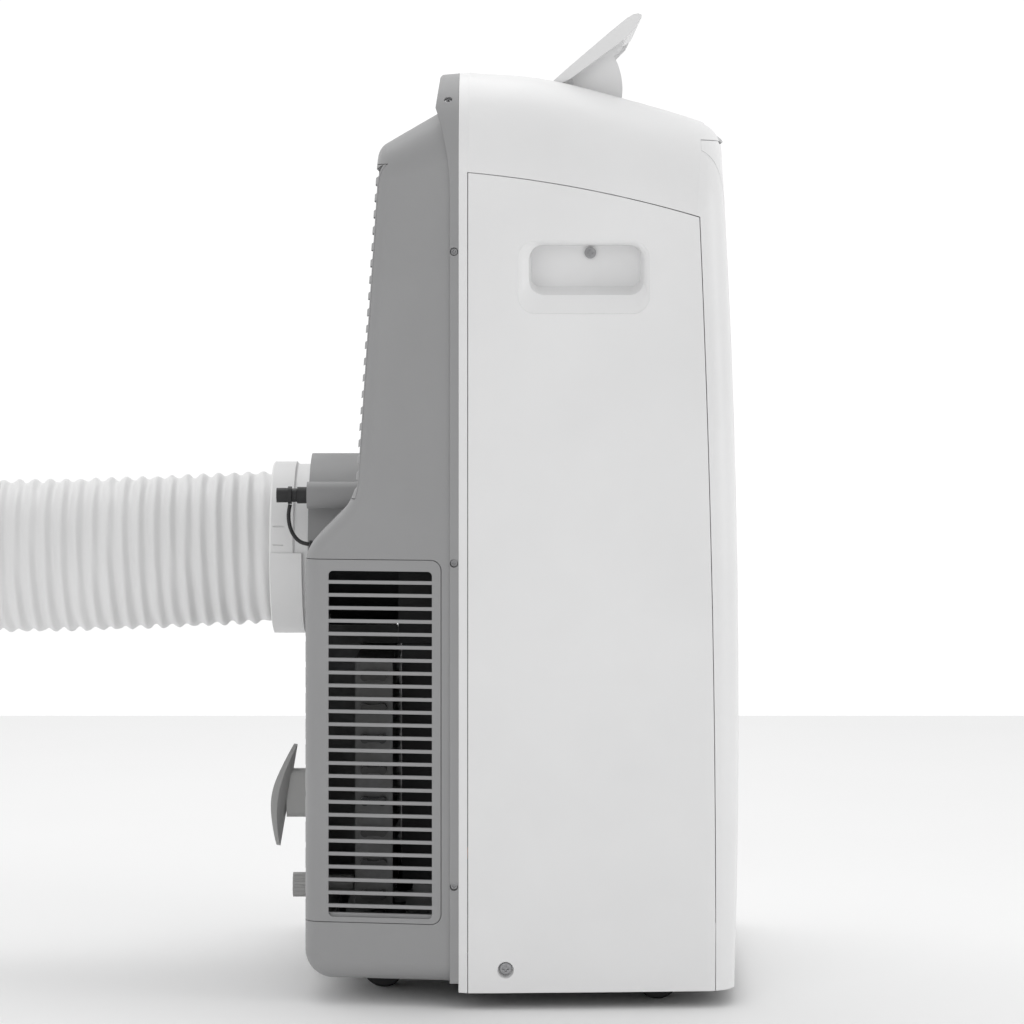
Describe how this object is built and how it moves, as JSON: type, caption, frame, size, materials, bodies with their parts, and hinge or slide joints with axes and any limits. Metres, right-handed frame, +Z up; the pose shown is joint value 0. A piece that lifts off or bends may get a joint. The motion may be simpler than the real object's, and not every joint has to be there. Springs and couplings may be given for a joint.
{
  "type": "portable air conditioner",
  "caption": "Portable room air conditioner on castors with a motor-driven top louvre, rear air intakes and a corrugated exhaust hose.",
  "frame": {"origin": "on the floor under the middle of the body", "axes": "+X across the width, -Y out of the front, +Y out of the back along the exhaust hose, +Z up"},
  "size_m": [0.446, 0.6921, 0.7883],
  "materials": {
    "white_body": "satin moulded",
    "control_strip": "gloss",
    "display": "smoked",
    "button_cap": "satin",
    "circuit_board": "matte",
    "rear_plastic": "fine texture",
    "filter_net": "woven net",
    "gear_plastic": "matte",
    "duct_plastic": "matte",
    "fan_plastic": "matte",
    "base_plastic": "matte",
    "hose_plastic": "translucent satin",
    "black_rubber": "soft",
    "grey_fitting": "satin",
    "castor_plastic": "matte",
    "castor_tread": "matte",
    "coil_fins": "fine fins",
    "motor_steel": "zinc plated",
    "compressor_paint": "black enamel",
    "copper": "drawn tube",
    "capacitor_case": "smooth",
    "pump_plastic": "smooth",
    "screw_steel": "zinc plated"
  },
  "bodies": {
    "cabinet": {"front_shell": "white_body", "left_side_panel": "white_body", "right_side_panel": "white_body", "front_panel": "white_body", "control_panel": "control_strip", "display_lens": "display", "display_board": "circuit_board", "outlet_frame": "white_body", "louvre_motor": "gear_plastic", "rear_housing": "rear_plastic", "housing_screws": "screw_steel", "panel_screws": "screw_steel", "cord_cleat": "grey_fitting", "cord_gland": "grey_fitting", "drain_stub": "black_rubber", "drain_leash": "black_rubber", "lower_drain_spout": "grey_fitting", "base_pan": "base_plastic", "drain_tray": "duct_plastic", "evaporator_coil": "coil_fins", "evaporator_scroll": "duct_plastic", "evaporator_motor": "motor_steel", "condenser_coil": "coil_fins", "condenser_scroll": "duct_plastic", "condenser_motor": "motor_steel", "exhaust_duct": "duct_plastic", "compressor": "compressor_paint", "compressor_grommets": "black_rubber", "accumulator": "compressor_paint", "refrigerant_pipes": "copper", "electrical_box": "motor_steel", "run_capacitor": "capacitor_case", "condensate_pump": "pump_plastic"},
    "louvre": {"louvre_flap": "white_body"},
    "pinion": {"louvre_pinion": "gear_plastic"},
    "upper_filter": {"upper_filter_grille": "rear_plastic", "upper_filter_mesh": "filter_net"},
    "left_grille": {"left_condenser_grille": "rear_plastic"},
    "right_grille": {"right_condenser_grille": "rear_plastic"},
    "evaporator_fan": {"evaporator_blower": "fan_plastic"},
    "condenser_fan": {"condenser_blower": "fan_plastic"},
    "drain_plug": {"drain_plug": "black_rubber"},
    "drain_cap": {"lower_drain_cap": "grey_fitting"},
    "hose_connector": {"hose_adapter": "hose_plastic", "exhaust_hose": "hose_plastic"},
    "nozzle": {"window_nozzle": "hose_plastic"},
    "button_power": {"button_power": "button_cap"},
    "button_mode": {"button_mode": "button_cap"},
    "button_fan": {"button_fan": "button_cap"},
    "button_timer": {"button_timer": "button_cap"},
    "button_minus": {"button_minus": "button_cap"},
    "button_plus": {"button_plus": "button_cap"},
    "castor_front_left": {"castor_fork_front_left": "castor_plastic"},
    "wheels_front_left": {"castor_wheels_front_left": "castor_tread"},
    "castor_front_right": {"castor_fork_front_right": "castor_plastic"},
    "wheels_front_right": {"castor_wheels_front_right": "castor_tread"},
    "castor_rear_left": {"castor_fork_rear_left": "castor_plastic"},
    "wheels_rear_left": {"castor_wheels_rear_left": "castor_tread"},
    "castor_rear_right": {"castor_fork_rear_right": "castor_plastic"},
    "wheels_rear_right": {"castor_wheels_rear_right": "castor_tread"}
  },
  "joints": [
    {"name": "louvre_tilt", "type": "hinge", "parent": "cabinet", "child": "louvre", "pos_m": [0, -0.0355, 0.728], "axis": [-1, 0, 0], "range_deg": [-54, 5]},
    {"name": "pinion_turn", "type": "hinge", "parent": "cabinet", "child": "pinion", "pos_m": [0, -0.06835, 0.70414], "axis": [-1, 0, 0], "range_deg": [-320, 32]},
    {"name": "upper_filter_pull", "type": "slide", "parent": "cabinet", "child": "upper_filter", "axis": [0, 1, 0], "range_m": [0, 0.06]},
    {"name": "left_grille_pull", "type": "slide", "parent": "cabinet", "child": "left_grille", "axis": [0, 1, 0], "range_m": [0, 0.05]},
    {"name": "right_grille_pull", "type": "slide", "parent": "cabinet", "child": "right_grille", "axis": [0, 1, 0], "range_m": [0, 0.05]},
    {"name": "evaporator_fan_spin", "type": "hinge", "parent": "cabinet", "child": "evaporator_fan", "pos_m": [0, -0.08, 0.545], "axis": [0, 1, 0], "continuous": true},
    {"name": "condenser_fan_spin", "type": "hinge", "parent": "cabinet", "child": "condenser_fan", "pos_m": [0, 0.04, 0.178], "axis": [0, 1, 0], "continuous": true},
    {"name": "drain_plug_pull", "type": "slide", "parent": "cabinet", "child": "drain_plug", "axis": [0, 1, 0], "range_m": [0, 0.016], "deforming": ["drain_leash"]},
    {"name": "drain_cap_turn", "type": "hinge", "parent": "cabinet", "child": "drain_cap", "pos_m": [-0.082, 0.17, 0.077], "axis": [0, 1, 0], "range_deg": [-360, 0]},
    {"name": "hose_connector_turn", "type": "hinge", "parent": "cabinet", "child": "hose_connector", "pos_m": [0, 0.18, 0.35], "axis": [0, 1, 0], "range_deg": [-18, 0]},
    {"name": "hose_stretch", "type": "slide", "parent": "hose_connector", "child": "nozzle", "axis": [0, 1, 0], "range_m": [-0.11, 0], "deforming": ["exhaust_hose"]},
    {"name": "power_press", "type": "slide", "parent": "cabinet", "child": "button_power", "axis": [0, 0.6176, -0.7865], "range_m": [0, 0.0008], "stiffness_N_per_m": 400},
    {"name": "mode_press", "type": "slide", "parent": "cabinet", "child": "button_mode", "axis": [0, 0.6176, -0.7865], "range_m": [0, 0.0008], "stiffness_N_per_m": 400},
    {"name": "fan_press", "type": "slide", "parent": "cabinet", "child": "button_fan", "axis": [0, 0.6176, -0.7865], "range_m": [0, 0.0008], "stiffness_N_per_m": 400},
    {"name": "timer_press", "type": "slide", "parent": "cabinet", "child": "button_timer", "axis": [0, 0.6176, -0.7865], "range_m": [0, 0.0008], "stiffness_N_per_m": 400},
    {"name": "minus_press", "type": "slide", "parent": "cabinet", "child": "button_minus", "axis": [0, 0.6176, -0.7865], "range_m": [0, 0.0008], "stiffness_N_per_m": 400},
    {"name": "plus_press", "type": "slide", "parent": "cabinet", "child": "button_plus", "axis": [0, 0.6176, -0.7865], "range_m": [0, 0.0008], "stiffness_N_per_m": 400},
    {"name": "castor_front_left_swivel", "type": "hinge", "parent": "cabinet", "child": "castor_front_left", "pos_m": [-0.165, -0.125, 0.042], "axis": [0, 0, 1], "continuous": true},
    {"name": "castor_front_left_roll", "type": "hinge", "parent": "castor_front_left", "child": "wheels_front_left", "pos_m": [-0.165, -0.116, 0.017], "axis": [1, 0, 0], "continuous": true},
    {"name": "castor_front_right_swivel", "type": "hinge", "parent": "cabinet", "child": "castor_front_right", "pos_m": [0.165, -0.125, 0.042], "axis": [0, 0, 1], "continuous": true},
    {"name": "castor_front_right_roll", "type": "hinge", "parent": "castor_front_right", "child": "wheels_front_right", "pos_m": [0.165, -0.116, 0.017], "axis": [1, 0, 0], "continuous": true},
    {"name": "castor_rear_left_swivel", "type": "hinge", "parent": "cabinet", "child": "castor_rear_left", "pos_m": [-0.112, 0.095, 0.042], "axis": [0, 0, 1], "continuous": true},
    {"name": "castor_rear_left_roll", "type": "hinge", "parent": "castor_rear_left", "child": "wheels_rear_left", "pos_m": [-0.112, 0.104, 0.017], "axis": [1, 0, 0], "continuous": true},
    {"name": "castor_rear_right_swivel", "type": "hinge", "parent": "cabinet", "child": "castor_rear_right", "pos_m": [0.112, 0.095, 0.042], "axis": [0, 0, 1], "continuous": true},
    {"name": "castor_rear_right_roll", "type": "hinge", "parent": "castor_rear_right", "child": "wheels_rear_right", "pos_m": [0.112, 0.104, 0.017], "axis": [1, 0, 0], "continuous": true}
  ],
  "couplings": [
    {"joint": "pinion_turn", "follows": "louvre_tilt", "ratio": 5.8333}
  ]
}
